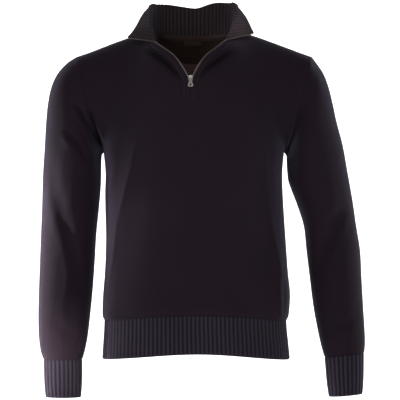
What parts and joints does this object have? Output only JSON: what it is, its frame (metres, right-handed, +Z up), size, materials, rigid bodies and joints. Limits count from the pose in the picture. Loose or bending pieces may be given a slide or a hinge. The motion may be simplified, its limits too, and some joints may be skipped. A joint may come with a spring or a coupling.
{
  "type": "quarter zip sweater",
  "caption": "Long-sleeved fine knit pullover with a folded-out ribbed collar, a short zip at the neck and ribbed hem and cuffs, filled out as it is worn.",
  "frame": {"origin": "middle of the neck opening at the height of the collar seam, where the wearer's neck and shoulders carry the sweater", "axes": "+Z up, from hem to collar; -Y out of the front; +X towards the wearer's left arm"},
  "size_m": [0.676, 0.2528, 0.8233],
  "materials": {
    "navy_knit": "fine smooth jersey, matt, almost black navy",
    "navy_rib": "ribbed knit, matt, almost black navy",
    "navy_facing": "woven tape and inside facing, matt",
    "label_cloth": "plain woven label, blank",
    "zip_teeth": "fine metal zip teeth, warm grey",
    "zip_metal": "satin silver metal"
  },
  "bodies": {
    "sweater": {"front_panel": "navy_knit", "back_panel": "navy_knit", "sleeve_right": "navy_knit", "sleeve_left": "navy_knit", "facing_band_right": "navy_knit", "facing_band_left": "navy_knit", "collar": "navy_rib", "cuff_right": "navy_rib", "cuff_left": "navy_rib", "hem_rib_front": "navy_rib", "hem_rib_back": "navy_rib", "zip_tape_right": "navy_facing", "zip_tape_left": "navy_facing", "neck_tape": "navy_facing", "half_moon": "navy_facing", "neck_label": "label_cloth", "zip_teeth_right": "zip_teeth", "zip_teeth_left": "zip_teeth", "zip_slider": "zip_metal"},
    "pull": {"pull_tab": "zip_metal"}
  },
  "joints": [
    {"name": "pull_tab_swing", "type": "hinge", "parent": "sweater", "child": "pull", "pos_m": [-0.0088, -0.12201, -0.08519], "axis": [-1, 0, 0], "range_deg": [0, 150]}
  ]
}
